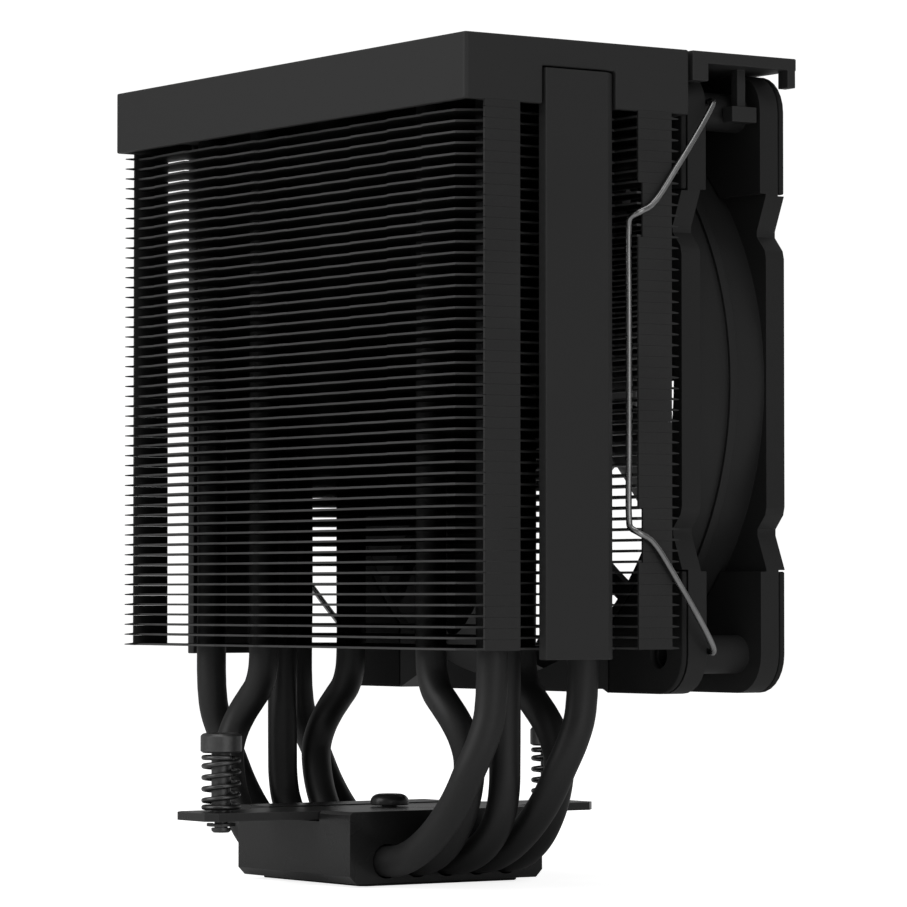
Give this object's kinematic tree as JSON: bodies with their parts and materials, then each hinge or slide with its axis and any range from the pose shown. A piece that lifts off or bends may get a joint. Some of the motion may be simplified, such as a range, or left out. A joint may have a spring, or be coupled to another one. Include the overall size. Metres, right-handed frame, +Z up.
{
  "type": "cpu tower cooler",
  "caption": "Black tower heatsink with bent heat pipes, thin stacked fins, a deep square cap, a clipped-on square fan and a bar with spring screws over the base.",
  "frame": {"origin": "centre of the cold plate's underside", "axes": "+Z up out of the processor, X along the tower's width, the fan on the -Y side"},
  "size_m": [0.1302, 0.0982, 0.1595],
  "materials": {
    "fin_black": "thin matte black coating",
    "pipe_black": "matte black coating over copper",
    "base_black": "matte black coating, bright milled top",
    "copper_face": "milled copper contact face, black edges",
    "bar_black": "black coated steel",
    "screw_dark": "dark plated steel",
    "cap_black": "fine satin black",
    "fan_black": "moulded black",
    "blade_black": "moulded black, slight sheen",
    "pad_rubber": "matte",
    "label_dark": "blank sticker",
    "board_green": "solder mask",
    "core_steel": "laminations",
    "winding_copper": "enamelled wire",
    "bush_bronze": "sintered bronze",
    "magnet_dark": "bonded ferrite",
    "shaft_steel": "ground steel",
    "wire_steel": "bright spring steel"
  },
  "bodies": {
    "cooler": {"cold_plate": "copper_face", "base_block": "base_black", "mounting_bar": "bar_black", "centre_screw": "screw_dark", "fin_stack": "fin_black", "top_plate": "fin_black", "top_cover": "cap_black", "spine_left": "cap_black", "spine_right": "cap_black", "fan_frame": "fan_black", "fan_label": "label_dark", "motor_board": "board_green", "stator_core": "core_steel", "bearing_bush": "bush_bronze", "fan_cable": "fan_black", "fan_connector": "fan_black", "heat_pipe_1": "pipe_black", "heat_pipe_2": "pipe_black", "heat_pipe_3": "pipe_black", "heat_pipe_4": "pipe_black", "heat_pipe_5": "pipe_black", "side_strip_1": "fin_black", "stator_coil_1": "winding_copper", "side_strip_2": "fin_black", "stator_coil_2": "winding_copper", "side_strip_3": "fin_black", "stator_coil_3": "winding_copper", "side_strip_4": "fin_black", "stator_coil_4": "winding_copper", "screw_spring_1": "screw_dark", "screw_spring_2": "screw_dark", "fan_pad_1": "pad_rubber", "fan_pad_2": "pad_rubber", "fan_pad_3": "pad_rubber", "fan_pad_4": "pad_rubber", "fan_pad_5": "pad_rubber", "fan_pad_6": "pad_rubber", "fan_pad_7": "pad_rubber", "fan_pad_8": "pad_rubber"},
    "rotor_unit": {"rotor": "blade_black", "rotor_shaft": "shaft_steel", "shaft_clip": "screw_dark", "magnet_ring": "magnet_dark"},
    "cover_unit": {"fan_cover": "cap_black"},
    "clip_left": {"wire_clip_left": "wire_steel"},
    "clip_right": {"wire_clip_right": "wire_steel"},
    "ring_1": {"screw_clip_1": "screw_dark"},
    "ring_2": {"screw_clip_2": "screw_dark"},
    "screw_1": {"spring_screw_1": "screw_dark"},
    "screw_2": {"spring_screw_2": "screw_dark"}
  },
  "joints": [
    {"name": "rotor_spin", "type": "hinge", "parent": "cooler", "child": "rotor_unit", "pos_m": [0, -0.0393, 0.0969], "axis": [0, -1, 0], "continuous": true},
    {"name": "fan_cover_lift", "type": "slide", "parent": "cooler", "child": "cover_unit", "axis": [0, 0, 1], "range_m": [0, 0.02]},
    {"name": "clip_left_swing", "type": "hinge", "parent": "cooler", "child": "clip_left", "pos_m": [-0.0622, -0.0126, 0.0977], "axis": [0, 0, -1], "range_deg": [0, 70]},
    {"name": "clip_right_swing", "type": "hinge", "parent": "cooler", "child": "clip_right", "pos_m": [0.0622, -0.0126, 0.0977], "axis": [0, 0, 1], "range_deg": [0, 70]},
    {"name": "screw_press_1", "type": "slide", "parent": "cooler", "child": "ring_1", "axis": [0, 0, -1], "range_m": [0, 0.0045], "deforming": ["screw_spring_1"]},
    {"name": "screw_turn_1", "type": "hinge", "parent": "ring_1", "child": "screw_1", "pos_m": [0, 0.039, 0.02], "axis": [0, 0, -1], "continuous": true},
    {"name": "screw_press_2", "type": "slide", "parent": "cooler", "child": "ring_2", "axis": [0, 0, -1], "range_m": [0, 0.0045], "deforming": ["screw_spring_2"]},
    {"name": "screw_turn_2", "type": "hinge", "parent": "ring_2", "child": "screw_2", "pos_m": [0, -0.039, 0.02], "axis": [0, 0, -1], "continuous": true}
  ]
}
